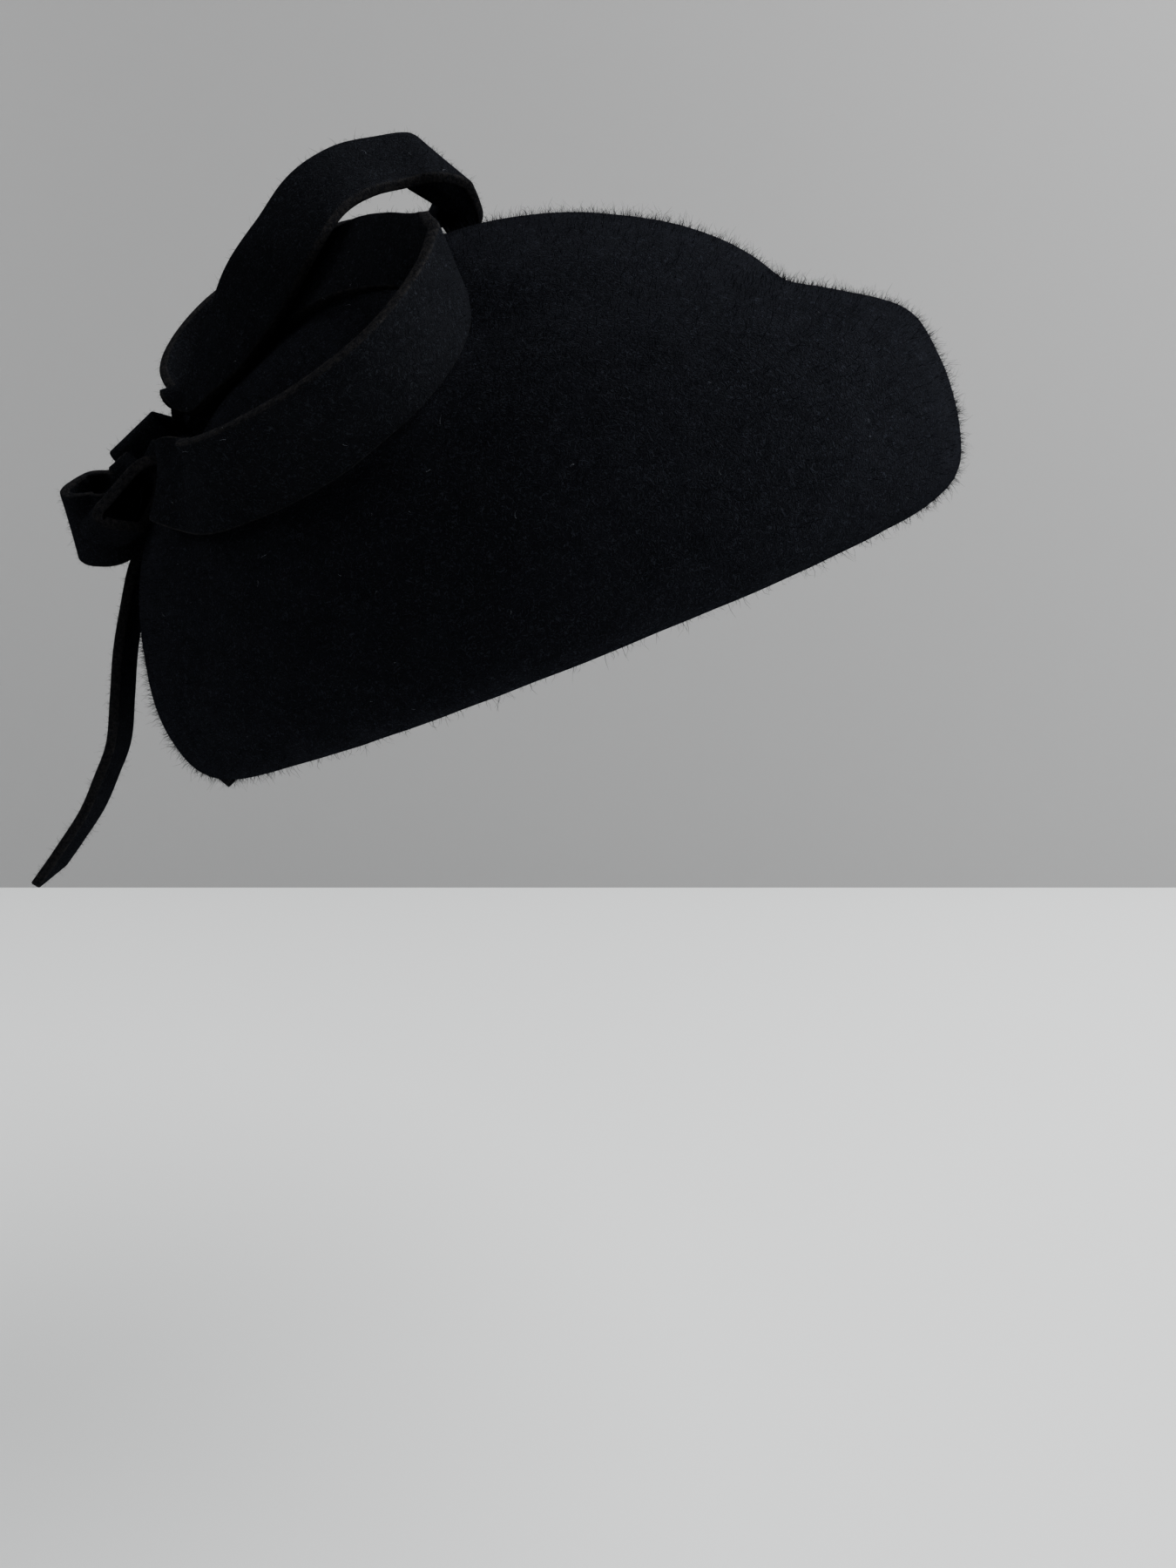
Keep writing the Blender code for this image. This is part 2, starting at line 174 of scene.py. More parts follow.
UPPER_LOOP = (
    Station(-0.674, -0.012, 0.868, 0.10, -0.98, -0.10, 0.55),
    Station(-0.639, -0.051, 0.918, 0.25, -0.95, -0.15, 0.60),
    Station(-0.580, -0.170, 0.894, 0.38, -0.81, -0.44, 0.70),
    Station(-0.508, -0.247, 0.913, 0.44, -0.73, -0.52, 0.86),
    Station(-0.427, -0.312, 0.944, 0.64, -0.60, -0.48, 0.97),
    Station(-0.343, -0.339, 0.999, 0.73, -0.43, -0.53, 1.00),
    Station(-0.247, -0.340, 1.068, 0.67, -0.49, -0.57, 1.00),
    Station(-0.159, -0.301, 1.135, 0.47, -0.55, -0.70, 1.00),
    Station(-0.075, -0.242, 1.166, 0.29, -0.59, -0.75, 1.00),
    Station(0.007, -0.176, 1.171, 0.20, -0.62, -0.76, 1.00),
    Station(0.077, -0.138, 1.162, 0.11, -0.69, -0.71, 1.00),
    Station(0.113, -0.074, 1.137, 0.29, -0.74, -0.60, 1.00),
    Station(0.102, -0.020, 1.103, 0.61, -0.57, -0.55, 1.00),
    Station(0.081, 0.024, 1.094, 0.68, -0.45, -0.58, 1.00),
    Station(0.063, 0.053, 1.083, 0.35, -0.88, -0.30, 1.00),
    Station(-0.037, 0.064, 1.046, 0.15, -0.96, -0.20, 1.00),
    Station(-0.167, 0.069, 1.038, 0.10, -0.97, -0.20, 1.00),
    Station(-0.278, 0.081, 1.020, 0.05, -0.97, -0.20, 0.95),
    Station(-0.380, 0.087, 0.985, 0.10, -0.97, -0.20, 0.90),
    Station(-0.491, 0.081, 0.939, 0.15, -0.97, -0.20, 0.75),
    Station(-0.583, 0.062, 0.881, 0.12, -0.98, -0.15, 0.60),
    Station(-0.644, 0.035, 0.851, 0.10, -0.98, -0.10, 0.50),
)

LEFT_LOOP = (
    Station(-0.672, 0.148, 0.822, 0.15, -0.20, 0.95, 0.60),
    Station(-0.704, 0.197, 0.887, 0.10, -0.42, 0.89, 0.76),
    Station(-0.715, 0.301, 0.973, -0.05, -0.58, 0.80, 0.93),
    Station(-0.666, 0.401, 1.050, -0.13, -0.60, 0.78, 1.00),
    Station(-0.570, 0.474, 1.119, -0.14, -0.60, 0.78, 1.00),
    Station(-0.454, 0.538, 1.161, -0.10, -0.58, 0.80, 1.00),
    Station(-0.324, 0.572, 1.186, -0.05, -0.60, 0.80, 1.00),
    Station(-0.185, 0.572, 1.184, 0.00, -0.60, 0.80, 1.00),
    Station(-0.079, 0.532, 1.137, 0.05, -0.62, 0.78, 1.00),
    Station(-0.023, 0.451, 1.084, 0.05, -0.55, 0.83, 1.00),
    Station(-0.074, 0.376, 1.064, 0.00, -0.40, 0.92, 1.00),
    Station(-0.204, 0.335, 1.059, -0.02, -0.32, 0.95, 1.00),
    Station(-0.370, 0.306, 1.020, 0.10, -0.30, 0.94, 0.92),
    Station(-0.509, 0.254, 0.941, 0.20, -0.33, 0.92, 0.75),
    Station(-0.611, 0.190, 0.858, 0.20, -0.25, 0.94, 0.60),
)

SMALL_BACK_LOOP = (
    Station(-0.806, -0.105, 0.710, 0.35, -0.25, 0.90, 0.56),
    Station(-0.857, -0.106, 0.689, 0.35, -0.25, 0.90, 0.74),
    Station(-0.912, -0.118, 0.677, 0.35, -0.25, 0.90, 0.97),
    Station(-0.974, -0.099, 0.695, 0.35, -0.45, 0.82, 1.00),
    Station(-1.008, -0.046, 0.723, 0.35, -0.50, 0.79, 1.00),
    Station(-1.003, 0.021, 0.747, 0.35, -0.50, 0.79, 1.00),
    Station(-0.958, 0.057, 0.755, 0.35, -0.50, 0.79, 1.00),
    Station(-0.913, 0.042, 0.746, 0.35, -0.50, 0.79, 0.90),
    Station(-0.883, 0.006, 0.733, 0.35, -0.50, 0.79, 0.80),
)

SMALL_RIGHT_LOOP = (
    Station(-0.758, -0.214, 0.752, 0.56, -0.83, -0.02, 0.80),
    Station(-0.758, -0.230, 0.752, 0.56, -0.83, -0.02, 0.90),
    Station(-0.780, -0.257, 0.749, 0.56, -0.83, -0.02, 1.00),
    Station(-0.854, -0.290, 0.706, 0.56, -0.83, -0.02, 1.00),
    Station(-0.885, -0.307, 0.684, 0.56, -0.83, -0.02, 1.00),
    Station(-0.885, -0.303, 0.661, 0.56, -0.83, -0.02, 1.00),
    Station(-0.852, -0.276, 0.636, 0.56, -0.83, -0.02, 1.00),
    Station(-0.822, -0.244, 0.631, 0.56, -0.83, -0.02, 0.95),
    Station(-0.761, -0.220, 0.696, 0.56, -0.83, -0.02, 0.85),
)

LONG_TAIL = (
    Station(-0.773, 0.005, 0.708, -0.05, 0.99, 0.00, 0.44),
    Station(-0.811, 0.012, 0.691, -0.08, 0.99, -0.02, 0.46),
    Station(-0.852, 0.025, 0.657, -0.12, 0.98, -0.03, 0.54),
    Station(-0.896, 0.035, 0.612, -0.15, 0.98, -0.05, 0.60),
    Station(-0.944, 0.037, 0.562, -0.20, 0.97, -0.05, 0.76),
    Station(-0.994, 0.028, 0.482, -0.20, 0.97, -0.05, 0.92),
    Station(-1.049, 0.014, 0.388, -0.20, 0.97, -0.05, 1.00),
    Station(-1.099, 0.000, 0.286, -0.20, 0.97, -0.05, 1.00),
    Station(-1.156, 0.000, 0.184, -0.20, 0.97, -0.05, 1.00),
    Station(-1.223, 0.000, 0.111, -0.20, 0.97, -0.05, 1.00),
    Station(-1.298, 0.000, 0.040, -0.20, 0.97, -0.05, 1.00),
    Station(-1.393, 0.000, -0.026, -0.20, 0.97, -0.05, 1.00),
    Station(-1.474, 0.000, -0.078, -0.20, 0.97, -0.05, 1.00),
)

SHORT_TAIL = (
    Station(-0.773, 0.117, 0.707, 0.05, 0.99, 0.00, 0.45),
    Station(-0.808, 0.138, 0.685, 0.08, 0.98, 0.00, 0.50),
    Station(-0.845, 0.180, 0.636, 0.12, 0.98, 0.00, 0.65),
    Station(-0.885, 0.217, 0.559, 0.15, 0.97, 0.00, 0.80),
    Station(-0.934, 0.242, 0.465, 0.18, 0.97, 0.00, 0.95),
    Station(-0.983, 0.254, 0.356, 0.20, 0.97, 0.00, 1.00),
    Station(-1.021, 0.266, 0.238, 0.20, 0.97, 0.00, 1.00),
    Station(-1.028, 0.277, 0.124, 0.20, 0.97, 0.00, 1.00),
    Station(-1.007, 0.295, 0.020, 0.20, 0.97, 0.00, 1.00),
    Station(-0.990, 0.304, -0.030, 0.20, 0.97, 0.00, 1.00),
)


def linear(code: str) -> tuple[float, float, float, float]:
    """Turns an sRGB hex colour into the linear one that a shader reads.

    Args:
        code: the colour as six hex digits, with or without a leading hash.

    Returns:
        Red, green, blue and an alpha of 1.
    """
    digits = code.lstrip("#")
    parts = [int(digits[start:start + 2], 16) / 255.0 for start in (0, 2, 4)]
    red, green, blue = (
        part / 12.92 if part <= 0.04045 else ((part + 0.055) / 1.055) ** 2.4 for part in parts
    )
    return red, green, blue, 1.0


def worn(points: Grid) -> Grid:
    """Tips points from the level hat's frame back to the worn tilt.

    Args:
        points: positions in the hat's own frame, in any array that ends in x, y and z.

    Returns:
        The same array of positions, in the frame of the hat as it is worn.
    """
    turn = np.array(Matrix.Rotation(-WORN_TILT, 3, "Y"))
    return points @ turn.T


def between(values: Grid, share: Grid, is_ring: bool) -> Grid:
    """Reads a smooth curve through rows of values.

    Args:
        values: a row of numbers for each known station.
        share: where to read, counted in stations from the first.
        is_ring: True where the last station is followed by the first.

    Returns:
        A row of numbers for each place read.
    """
    count = len(values)
    first = np.floor(share).astype(int)
    if not is_ring:
        first = np.minimum(first, count - 2)
    part = (share - first)[:, None]
    four = []
    for step in (-1, 0, 1, 2):
        index = first + step
        four.append(values[index % count] if is_ring else values[np.clip(index, 0, count - 1)])
    before, start, end, after = four
    return 0.5 * (
        2.0 * start
        + (end - before) * part
        + (2.0 * before - 5.0 * start + 4.0 * end - after) * part**2
        + (3.0 * start - before - 3.0 * end + after) * part**3
    )


def unit(vectors: Grid) -> Grid:
    """Gives each vector of an array a length of 1."""
    return vectors / np.maximum(np.linalg.norm(vectors, axis=-1, keepdims=True), NO_LENGTH)


def ring_steps(points: Grid, axis: int = 0) -> Grid:
    """Steps from the neighbour before each point to the one after it, round a closed ring."""
    return np.roll(points, -1, axis=axis) - np.roll(points, 1, axis=axis)


def unevenness(points: Grid, spacing: float, seed: float) -> Grid:
    """Reads a smooth random height at each point.

    Args:
        points: positions in metres, in an array that ends in x, y and z.
        spacing: the size of the bumps, in metres.
        seed: shifts the pattern, so that two pieces differ.

    Returns:
        A height from about -1 to 1 for each point.
    """
    flat = points.reshape(-1, 3) / spacing
    heights = [noise.noise(Vector((x + seed, y - seed, z + 2.0 * seed))) for x, y, z in flat]
    return np.array(heights).reshape(points.shape[:-1])


def settle_faces(shape: bmesh.types.BMesh) -> None:
    """Sorts a mesh's faces by their first edge, because a spin leaves them in no fixed order.

    Args:
        shape: the mesh, whose vertices are in a fixed order already.
    """
    shape.verts.index_update()
    count = len(shape.verts)
    shape.faces.sort(key=lambda face: face.verts[0].index * count + face.verts[1].index)


def drawn_sleeve(rows: Grid, ends: Ends, cut: Grid | None = None) -> bmesh.types.BMesh:
    """Spins a plain drum, then draws it to shape ring by ring, as felt is drawn over a block.

    Args:
        rows: positions as rows by columns by x, y and z, where a row is one closed ring.
        ends: whether the first and last rings meet each other, are cut flat or close in poles.
        cut: how far each column lies on a cut edge, from 0 to 1.

    Returns:
        The sleeve, with its faces pointing outwards.
    """
    count, columns = rows.shape[:2]
    shape = bmesh.new()
    chain = [shape.verts.new((1.0, 0.0, float(index))) for index in range(count)]
    edges = [shape.edges.new(pair) for pair in zip(chain, chain[1:])]
    bmesh.ops.spin(
        shape,
        geom=chain + edges,
        cent=(0.0, 0.0, 0.0),
        axis=(0.0, 0.0, 1.0),
        angle=2.0 * math.pi,
        steps=columns,
        use_merge=True,
    )
    on_edge = shape.verts.layers.float.new(CUT_EDGE)
    for vertex in shape.verts:
        turn = math.atan2(vertex.co.y, vertex.co.x) / (2.0 * math.pi) * columns
        column = round(turn) % columns
        vertex.co = rows[round(vertex.co.z), column]
        vertex[on_edge] = 0.0 if cut is None else cut[column]
    bmesh.ops.remove_doubles(shape, verts=shape.verts, dist=SAME_SPOT)
    if ends is Ends.CUT:
        rim = [edge for edge in shape.edges if edge.is_boundary]
        bmesh.ops.holes_fill(shape, edges=rim, sides=columns)
    bmesh.ops.recalc_face_normals(shape, faces=shape.faces)
    settle_faces(shape)
    return shape


def rounded_oblong(across: float, deep: float, corner: float, per_corner: int, per_side: int) -> Grid:
    """Walks round a rectangle with rounded corners.

    Args:
        across: the rectangle's width.
        deep: its height.
        corner: the radius of its corners.
        per_corner: how many points each corner has.
        per_side: how many points each long side has between its corners.

    Returns:
        The points in order, as rows of a position across and a height.
    """
    points = []
    for quarter, (side, rise) in enumerate(((1, 1), (-1, 1), (-1, -1), (1, -1))):
        for step in range(per_corner):
            turn = 0.5 * math.pi * (quarter + step / (per_corner - 1))
            points.append((
                side * (0.5 * across - corner) + corner * math.cos(turn),
                rise * (0.5 * deep - corner) + corner * math.sin(turn),
            ))
        if quarter in (0, 2):
            for step in range(1, per_side + 1):
                share = 1.0 - 2.0 * step / (per_side + 1)
                points.append((side * (0.5 * across - corner) * share, rise * 0.5 * deep))
    return np.array(points)


def socket_of(sockets: bpy.types.NodeInputs, key: str | int, is_mix: bool) -> bpy.types.NodeSocket:
    """Finds one of a node's sockets.

    Args:
        sockets: the node's inputs or outputs.
        key: the socket's name, or its place where several share a name.
        is_mix: True for a Mix node, which has sockets of one name for numbers and for colours.

    Returns:
        The socket, which is the one for colours where a Mix node has both.
    """
    if isinstance(key, int):
        return sockets[key]
    named = [socket for socket in sockets if socket.name == key and socket.enabled]
    coloured = [socket for socket in named if socket.type == "RGBA"]
    return coloured[0] if is_mix and coloured else named[0]


def add_node(
    tree: bpy.types.NodeTree,
    kind: str,
    settings: dict[str, object] | None = None,
    values: dict[str | int, object] | None = None,
    links: dict[str | int, tuple[bpy.types.Node, str]] | None = None,
) -> bpy.types.Node:
    """Adds a node with its settings, input values and links.

    Args:
        tree: the material's nodes.
        kind: the node's type name.
        settings: the node's own properties.
        values: numbers or colours for its inputs, by name or place.
        links: the node and output that each input reads.

    Returns:
        The new node.
    """
    node = tree.nodes.new(kind)
    for name, value in (settings or {}).items():
        setattr(node, name, value)
    is_mix = kind == "ShaderNodeMix"
    for key, value in (values or {}).items():
        socket_of(node.inputs, key, is_mix).default_value = value
    for key, (source, output) in (links or {}).items():
        read = socket_of(source.outputs, output, source.bl_idname == "ShaderNodeMix")
        tree.links.new(read, socket_of(node.inputs, key, is_mix))
    return node


def new_material(name: str) -> tuple[bpy.types.Material, bpy.types.NodeTree, bpy.types.Node]:
    """Makes a material with nothing but its shader.

    Args:
        name: the material's name.

    Returns:
        The material, its nodes and its Principled shader.
    """
    material = bpy.data.materials.new(name)
    material.use_nodes = True
    tree = material.node_tree
    return material, tree, tree.nodes["Principled BSDF"]


def put_in_scene(name: str, data: bpy.types.ID) -> bpy.types.Object:
    """Makes an object of a mesh, a light or a camera, and links it to the scene.

    Args:
        name: the object's name.
        data: what it shows.

    Returns:
        The new object, at the origin.
    """
    made = bpy.data.objects.new(name, data)
    bpy.context.scene.collection.objects.link(made)
    return made


def add_piece(
    name: str,
    shape: bmesh.types.BMesh,
    material: bpy.types.Material,
    node: str,
) -> bpy.types.Object:
    """Makes a piece of the hat from a bmesh, dresses it and hangs it on the hat.

    Args:
        name: the piece's name.
        shape: its mesh, which is freed.
        material: its finish.
        node: the solid that it stands for.

    Returns:
        The new object, at the origin.
    """
    mesh = bpy.data.meshes.new(name)
    shape.to_mesh(mesh)
    shape.free()
    mesh.shade_smooth()
    mesh.materials.append(material)
    made = put_in_scene(name, mesh)
    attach(made, "root")
    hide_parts(node)
    LOG.info("%s: %d faces", name, len(mesh.polygons))
    return made


@dataclass(frozen=True)
class FeltFinish:
    """Wool felt: carded wool matted with steam, so matt, with a nap of fine loose fibres.

    Felt has no weave. The eye sees faint cloudy patches where the wool is thicker, thin curled fibres
    lying every way, and a soft bloom where light grazes the nap. A paler tone along each cut edge is a
    painted highlight. A wool fibre is about 0.03 mm thick, too fine to show, so the fibres, wisps and
    grain are drawn coarser.
    """

    name: str
    deep: str
    worn_tone: str
    fibre_tone: str
    # Paler tone of the painted highlight along the cut edges
    edge_highlight_tone: str = "242323"
    sheen_tint: str = "aab2c4"
    roughness: float = 0.94
    sheen: float = 0.004
    sheen_roughness: float = 0.5
    patch_mm: float = 9.0
    fibre_mm: float = 1.5
    wisp_mm: float = 0.9
    grain_mm: float = 0.45
    bump_mm: float = 0.42
    bump_strength: float = 0.9
    fibre_share: float = 0.035
    fibre_height: float = 0.45
    matting_height: float = 1.6

    def build(self) -> bpy.types.Material:
        """Makes the felt material.

        Returns:
            The material, which reads object coordinates and how far each point lies on a cut edge.
        """
        material, tree, shader = new_material(self.name)
        shader.inputs["Roughness"].default_value = self.roughness
        shader.inputs["Metallic"].default_value = 0.0
        shader.inputs["IOR"].default_value = WOOL_IOR
        shader.inputs["Specular IOR Level"].default_value = 0.0
        shader.inputs["Sheen Weight"].default_value = self.sheen
        shader.inputs["Sheen Roughness"].default_value = self.sheen_roughness
        shader.inputs["Sheen Tint"].default_value = linear(self.sheen_tint)
        place = add_node(tree, "ShaderNodeTexCoord")
        patches = add_node(
            tree, "ShaderNodeTexNoise",
            values={"Scale": 1.0 / (self.patch_mm * MM), "Detail": 3.0, "Roughness": 0.6},
            links={"Vector": (place, "Object")},
        )
        tone = add_node(
            tree, "ShaderNodeMix", settings={"data_type": "RGBA"},
            values={"A": linear(self.deep), "B": linear(self.worn_tone)},
            links={"Factor": (patches, "Fac")},
        )
        matting = add_node(
            tree, "ShaderNodeTexNoise",
            values={"Scale": 1.0 / (self.fibre_mm * MM), "Detail": 2.0, "Roughness": 0.5, "Distortion": 1.6},
            links={"Vector": (place, "Object")},
        )
        # The matting's middle heights make thin winding lines, which read as single curled fibres
        from_middle = add_node(
            tree, "ShaderNodeMath", settings={"operation": "SUBTRACT"},
            values={1: 0.5}, links={0: (matting, "Fac")},
        )
        distance = add_node(
            tree, "ShaderNodeMath", settings={"operation": "ABSOLUTE"}, links={0: (from_middle, "Value")},
        )
        curls = add_node(
            tree, "ShaderNodeMapRange",
            values={"From Min": 0.0, "From Max": self.fibre_share, "To Min": 1.0, "To Max": 0.0},
            links={"Value": (distance, "Value")},
        )
        coloured = add_node(
            tree, "ShaderNodeMix", settings={"data_type": "RGBA"},
            values={"B": linear(self.fibre_tone)},
            links={"Factor": (curls, "Result"), "A": (tone, "Result")},
        )
        edge = add_node(tree, "ShaderNodeAttribute", settings={"attribute_name": CUT_EDGE})
        wisps = add_node(
            tree, "ShaderNodeTexNoise",
            values={"Scale": 1.0 / (self.wisp_mm * MM), "Detail": 2.0, "Roughness": 0.6},
            links={"Vector": (place, "Object")},
        )
        ragged = add_node(
            tree, "ShaderNodeMapRange",
            values={"From Min": 0.38, "From Max": 0.68, "To Min": 0.15, "To Max": 1.0},
            links={"Value": (wisps, "Fac")},
        )
        # Painted highlight: a paler tone laid over the cut edges and broken up by the wisps
        painted_edge_highlight = add_node(
            tree, "ShaderNodeMath", settings={"operation": "MULTIPLY"},
            links={0: (edge, "Fac"), 1: (ragged, "Result")},
        )
        with_edge_highlight = add_node(
            tree, "ShaderNodeMix", settings={"data_type": "RGBA"},
            values={"B": linear(self.edge_highlight_tone)},
            links={"Factor": (painted_edge_highlight, "Value"), "A": (coloured, "Result")},
        )
        tree.links.new(with_edge_highlight.outputs["Result"], shader.inputs["Base Color"])
        grain = add_node(
            tree, "ShaderNodeTexNoise",
            values={"Scale": 1.0 / (self.grain_mm * MM), "Detail": 4.0, "Roughness": 0.65},
            links={"Vector": (place, "Object")},
        )
        lumps = add_node(
            tree, "ShaderNodeMath", settings={"operation": "MULTIPLY_ADD"},
            values={1: self.matting_height}, links={0: (matting, "Fac"), 2: (grain, "Fac")},
        )
        height = add_node(
            tree, "ShaderNodeMath", settings={"operation": "MULTIPLY_ADD"},
            values={1: self.fibre_height}, links={0: (curls, "Result"), 2: (lumps, "Value")},
        )
        bump = add_node(
            tree, "ShaderNodeBump",
            values={"Strength": self.bump_strength, "Distance": self.bump_mm * MM},
            links={"Height": (height, "Value")},
        )
        tree.links.new(bump.outputs["Normal"], shader.inputs["Normal"])
        return material


@dataclass(frozen=True)
class FibreFinish:
    """Single wool fibres, dyed or undyed: matt hairs whose tone drifts a little from place to place."""

    name: str
    tone: str
    roughness: float = 0.7
    drift_mm: float = 3.0
    darkest: float = 0.6
    palest: float = 1.5

    def build(self) -> bpy.types.Material:
        """Makes the fibre material.

        Returns:
            The material, which reads object coordinates alone.
        """
        material, tree, shader = new_material(self.name)
        shader.inputs["Roughness"].default_value = self.roughness
        shader.inputs["Specular IOR Level"].default_value = 0.0
        place = add_node(tree, "ShaderNodeTexCoord")
        drift = add_node(
            tree, "ShaderNodeTexNoise",
            values={"Scale": 1.0 / (self.drift_mm * MM)}, links={"Vector": (place, "Object")},
        )
        red, green, blue, _ = linear(self.tone)
        darker, paler = (
            (share * red, share * green, share * blue, 1.0) for share in (self.darkest, self.palest)
        )
        tone = add_node(
            tree, "ShaderNodeMix", settings={"data_type": "RGBA"},
            values={"A": darker, "B": paler}, links={"Factor": (drift, "Fac")},
        )
        tree.links.new(tone.outputs["Result"], shader.inputs["Base Color"])
        return material


@dataclass(frozen=True)
class StudioFinish:
    """Painted board in the studio: matt, with the faintest unevenness of tone."""

    name: str
    pale: str
    paler: str
    spacing: float
    roughness: float = 0.9
    shine: float = 0.1

    def build(self) -> bpy.types.Material:
        """Makes the studio material.

        Returns:
            The material, which reads object coordinates alone.
        """
        material, tree, shader = new_material(self.name)
        shader.inputs["Roughness"].default_value = self.roughness
        shader.inputs["Specular IOR Level"].default_value = self.shine
        place = add_node(tree, "ShaderNodeTexCoord")
        cloud = add_node(
            tree, "ShaderNodeTexNoise",
            values={"Scale": 1.0 / self.spacing}, links={"Vector": (place, "Object")},
        )
        tone = add_node(
            tree, "ShaderNodeMix", settings={"data_type": "RGBA"},
            values={"A": linear(self.pale), "B": linear(self.paler)}, links={"Factor": (cloud, "Fac")},
        )
        tree.links.new(tone.outputs["Result"], shader.inputs["Base Color"])
        return material


@dataclass
class BlockedBody:
    """The hat body: one piece of felt, steamed and pulled over a block, with its edge turned in."""

    felt: bpy.types.Material
    columns: int = 320
    steps_per_section: int = 5
    dome_rows: int = 34
    ease_rows: float = 9.0
    ease_rounds: int = 16
    broad_swell: float = 0.35 * MM
    broad_spacing: float = 34.0 * MM
    broad_seed: float = 3.1
    fine_swell: float = 0.12 * MM
    fine_spacing: float = 9.0 * MM
    fine_seed: float = 7.7
    edge_bulge: float = 0.3
    sections: tuple[Section, ...] = field(default=BODY_SECTIONS)

    def outline_rows(self) -> Grid:
        """Reads the wall's sections smoothly, and closes them with the dome's.

        Returns:
            A row like a section for each ring of the outer skin, from the edge to the top.
        """
        known = np.array(self.sections)
        share = np.linspace(0.0, len(known) - 1.0, (len(known) - 1) * self.steps_per_section + 1)
        wall = between(known, share, False)
        crease = known[-1]
        dome = []
        for step in range(1, self.dome_rows + 1):
            reach = math.cos(0.5 * math.pi * step / self.dome_rows)
            fall = max(1.0 - reach * reach, 0.0)
            rise = 0.5 * (math.sqrt(fall) + fall)
            dome.append([*(crease[:3] * max(reach, 0.0)), *(crease[3:] + (1.0 - crease[3:]) * rise)])
        return self.eased(np.concatenate([wall, dome]))

    def eased(self, rows: Grid) -> Grid:
        """Rounds the fold at the crease, because thick felt bends over a radius.

        Args:
            rows: the sections of wall and dome, in order.

        Returns:
            The same sections, with those near the crease drawn towards their neighbours.
        """
        place = np.arange(len(rows)) - (len(self.sections) - 1) * self.steps_per_section
        near = np.exp(-((place / self.ease_rows) ** 2))[:, None]
        for _ in range(self.ease_rounds):
            middle = 0.5 * rows[1:-1] + 0.25 * (rows[:-2] + rows[2:])
            drawn = rows[1:-1] + (middle - rows[1:-1]) * near[1:-1]
            rows = np.concatenate([rows[:1], drawn, rows[-1:]])
        return rows

    def outer_surface(self) -> Grid:
        """Places the smooth outer skin.

        Returns:
            Positions in the hat's own frame, as rings by columns by x, y and z.
        """
        turn = 2.0 * math.pi * np.arange(self.columns) / self.columns
        ahead = np.cos(turn)
        front, side, back, front_up, side_up, back_up = (part[:, None] for part in self.outline_rows().T)
        reach = np.where(ahead > 0.0, front, back)
        end_up = np.where(ahead > 0.0, front_up, back_up)
        up = side_up + (end_up - side_up) * ahead * ahead
        points = np.stack([
            0.5 * BODY_LENGTH * reach * ahead,
            0.5 * BODY_WIDTH * side * np.sin(turn),
            CROWN_HEIGHT * up,
        ], axis=-1)
        points[-1] = points[-1].mean(axis=0)
        return points

    def outward(self, points: Grid) -> Grid:
        """Works out the skin's outward direction at each of its points.

        Args:
            points: the skin, as rings by columns by x, y and z.

        Returns:
            A direction of length 1 for each point.
        """
        upward = np.gradient(points, axis=0)
        found = unit(np.cross(ring_steps(points, axis=1), upward))
        found[-1] = (0.0, 0.0, 1.0)
        return found

    def build(self) -> bpy.types.Object:
        """Draws the felt from the inside of the dome, round the turned edge, to the top of the dome.

        Returns:
            The body, with the slight unevenness of felt blocked by hand.
        """
        skin = self.outer_surface()
        away = self.outward(skin)
        broad = self.broad_swell * unevenness(skin, self.broad_spacing, self.broad_seed)
        fine = self.fine_swell * unevenness(skin, self.fine_spacing, self.fine_seed)
        uneven = (broad + fine)[..., None]
        outer = skin + away * uneven
        outer[-1] = outer[-1].mean(axis=0)
        inner = skin - away * (BODY_FELT - 0.5 * uneven)
        inner[-1] = inner[-1].mean(axis=0)
        edge = 0.5 * (outer[0] + inner[0])
        out_of_edge = unit(skin[0] - skin[2])
        fold = edge + out_of_edge * self.edge_bulge * BODY_FELT
        rows = np.concatenate([inner[::-1], fold[None], outer])
        return add_piece("blocked_felt_body", drawn_sleeve(worn(rows), Ends.POLES), self.felt, "felt_body")


